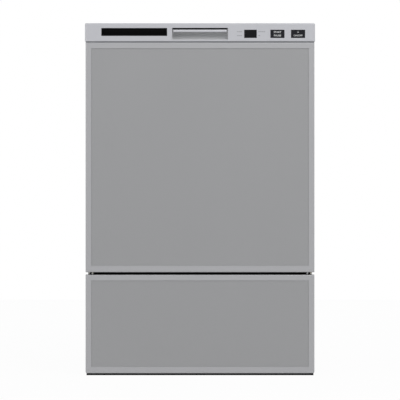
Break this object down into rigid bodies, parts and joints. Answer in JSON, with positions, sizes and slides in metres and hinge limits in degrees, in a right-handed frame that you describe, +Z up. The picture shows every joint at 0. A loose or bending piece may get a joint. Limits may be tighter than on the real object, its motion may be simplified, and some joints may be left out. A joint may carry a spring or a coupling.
{
  "type": "built-in dishwasher",
  "caption": "Slim built-in dishwasher with a drop-down framed silver door, control fascia with vent, finger handle and keys, fixed lower panel, sliding racks and spray arms.",
  "frame": {"origin": "middle of the footprint, on the floor under the levelling feet", "axes": "+Z up, the door faces -Y, +X to the right as seen from the front"},
  "size_m": [0.448, 0.6, 0.686],
  "materials": {
    "satin_silver": "satin silver",
    "panel_silver": "satin silver-grey",
    "fascia_silver": "satin silver",
    "case_steel": "galvanised grey",
    "stainless": "brushed",
    "black_plastic": "satin",
    "grey_plastic": "satin",
    "white_plastic": "satin",
    "dark_gloss": "gloss",
    "seal_rubber": "matte",
    "coated_wire": "nylon coated",
    "zinc_steel": "zinc plated",
    "board_green": "lacquered",
    "motor_metal": "painted",
    "pump_plastic": "moulded",
    "foot_plastic": "moulded"
  },
  "bodies": {
    "case": {"base_tray": "black_plastic", "left_side_panel": "case_steel", "right_side_panel": "case_steel", "top_cover": "case_steel", "back_cover": "case_steel", "wash_tub": "stainless", "door_gasket": "seal_rubber", "lower_frame": "satin_silver", "lower_panel": "panel_silver", "case_screws": "zinc_steel", "hinge_brackets": "zinc_steel", "door_springs": "zinc_steel", "latch_strike": "zinc_steel", "rack_rails": "grey_plastic", "sump": "pump_plastic", "filter_plate": "stainless", "residue_filter": "grey_plastic", "spray_riser": "grey_plastic", "heater_ring": "stainless", "wash_pump_housing": "pump_plastic", "wash_motor": "motor_metal", "drain_pump": "pump_plastic", "internal_hoses": "pump_plastic", "inlet_valve": "pump_plastic", "terminal_box": "pump_plastic", "fan_duct": "pump_plastic"},
    "door": {"door_frame": "satin_silver", "door_panel": "panel_silver", "door_liner": "stainless", "hinge_arms": "zinc_steel", "door_screws": "zinc_steel", "control_fascia": "fascia_silver", "vent_grille": "black_plastic", "handle_cup": "fascia_silver", "display_window": "dark_gloss", "control_board": "board_green", "dispenser_cup": "grey_plastic"},
    "handle_lever": {"handle_lever": "fascia_silver"},
    "latch_pawl": {"latch_pawl": "white_plastic"},
    "start_key": {"start_key": "dark_gloss"},
    "power_key": {"power_key": "dark_gloss"},
    "dispenser_lid": {"dispenser_lid": "grey_plastic"},
    "rack_runners": {"rack_runners": "grey_plastic"},
    "upper_rack": {"upper_rack": "coated_wire", "upper_feed_pipe": "grey_plastic"},
    "cup_shelf": {"cup_shelf": "coated_wire"},
    "upper_spray_arm": {"upper_spray_arm": "grey_plastic"},
    "lower_rack": {"lower_rack": "coated_wire", "cutlery_basket": "grey_plastic"},
    "folding_tines": {"folding_tines": "coated_wire"},
    "rack_wheels_front": {"rack_wheels_front": "grey_plastic"},
    "rack_wheels_rear": {"rack_wheels_rear": "grey_plastic"},
    "lower_spray_arm": {"lower_spray_arm": "grey_plastic"},
    "wash_impeller": {"wash_impeller": "pump_plastic"},
    "fan_wheel": {"fan_wheel": "pump_plastic"},
    "float": {"float": "grey_plastic"},
    "foot_front_left": {"foot_front_left": "foot_plastic"},
    "foot_front_right": {"foot_front_right": "foot_plastic"},
    "foot_rear_left": {"foot_rear_left": "foot_plastic"},
    "foot_rear_right": {"foot_rear_right": "foot_plastic"}
  },
  "joints": [
    {"name": "door_hinge", "type": "hinge", "parent": "case", "child": "door", "pos_m": [0, -0.293, 0.208], "axis": [1, 0, 0], "range_deg": [0, 88], "deforming": ["door_springs"]},
    {"name": "handle_lever_pivot", "type": "hinge", "parent": "door", "child": "handle_lever", "pos_m": [0, -0.291, 0.6805], "axis": [-1, 0, 0], "range_deg": [0, 12], "stiffness_Nm_per_rad": 0.2, "springref_deg": -11.46},
    {"name": "latch_pawl_pivot", "type": "hinge", "parent": "door", "child": "latch_pawl", "pos_m": [0, -0.27, 0.6765], "axis": [1, 0, 0], "range_deg": [0, 5]},
    {"name": "start_key_press", "type": "slide", "parent": "door", "child": "start_key", "axis": [0, 1, 0], "range_m": [0, 0.0012], "stiffness_N_per_m": 800, "springref_m": -0.0008},
    {"name": "power_key_press", "type": "slide", "parent": "door", "child": "power_key", "axis": [0, 1, 0], "range_m": [0, 0.0012], "stiffness_N_per_m": 800, "springref_m": -0.0008},
    {"name": "dispenser_lid_slide", "type": "slide", "parent": "door", "child": "dispenser_lid", "axis": [1, 0, 0], "range_m": [0, 0.042]},
    {"name": "rack_runner_slide", "type": "slide", "parent": "case", "child": "rack_runners", "axis": [0, -1, 0], "range_m": [0, 0.176]},
    {"name": "upper_rack_slide", "type": "slide", "parent": "rack_runners", "child": "upper_rack", "axis": [0, -1, 0], "range_m": [0, 0.176]},
    {"name": "cup_shelf_fold", "type": "hinge", "parent": "upper_rack", "child": "cup_shelf", "pos_m": [-0.1842, 0, 0.5473], "axis": [0, -1, 0], "range_deg": [0, 80]},
    {"name": "upper_spray_turn", "type": "hinge", "parent": "upper_rack", "child": "upper_spray_arm", "pos_m": [0, 0, 0.452], "axis": [0, 0, 1], "continuous": true},
    {"name": "lower_rack_slide", "type": "slide", "parent": "case", "child": "lower_rack", "axis": [0, -1, 0], "range_m": [0, 0.112]},
    {"name": "folding_tines_fold", "type": "hinge", "parent": "lower_rack", "child": "folding_tines", "pos_m": [0, 0.092, 0.2893], "axis": [-1, 0, 0], "range_deg": [0, 85]},
    {"name": "front_wheels_roll", "type": "hinge", "parent": "lower_rack", "child": "rack_wheels_front", "pos_m": [0, -0.12, 0.262], "axis": [1, 0, 0], "continuous": true},
    {"name": "rear_wheels_roll", "type": "hinge", "parent": "lower_rack", "child": "rack_wheels_rear", "pos_m": [0, 0.12, 0.262], "axis": [1, 0, 0], "continuous": true},
    {"name": "lower_spray_turn", "type": "hinge", "parent": "case", "child": "lower_spray_arm", "pos_m": [0, 0.02, 0.264], "axis": [0, 0, 1], "continuous": true},
    {"name": "wash_impeller_spin", "type": "hinge", "parent": "case", "child": "wash_impeller", "pos_m": [0.1, -0.01, 0.118], "axis": [1, 0, 0], "continuous": true},
    {"name": "fan_wheel_spin", "type": "hinge", "parent": "case", "child": "fan_wheel", "pos_m": [-0.16, 0.186, 0.08], "axis": [0, 0, 1], "continuous": true},
    {"name": "float_rise", "type": "slide", "parent": "case", "child": "float", "axis": [0, 0, 1], "range_m": [0, 0.012]},
    {"name": "foot_front_left_level", "type": "slide", "parent": "case", "child": "foot_front_left", "axis": [0, 0, -1], "range_m": [0, 0.012]},
    {"name": "foot_front_right_level", "type": "slide", "parent": "case", "child": "foot_front_right", "axis": [0, 0, -1], "range_m": [0, 0.012]},
    {"name": "foot_rear_left_level", "type": "slide", "parent": "case", "child": "foot_rear_left", "axis": [0, 0, -1], "range_m": [0, 0.012]},
    {"name": "foot_rear_right_level", "type": "slide", "parent": "case", "child": "foot_rear_right", "axis": [0, 0, -1], "range_m": [0, 0.012]}
  ],
  "couplings": [
    {"joint": "latch_pawl_pivot", "follows": "handle_lever_pivot", "ratio": 0.3333},
    {"joint": "rack_runner_slide", "follows": "door_hinge", "m_per_rad": 0.114},
    {"joint": "upper_rack_slide", "follows": "door_hinge", "m_per_rad": 0.114},
    {"joint": "lower_rack_slide", "follows": "door_hinge", "m_per_rad": 0.0725}
  ]
}
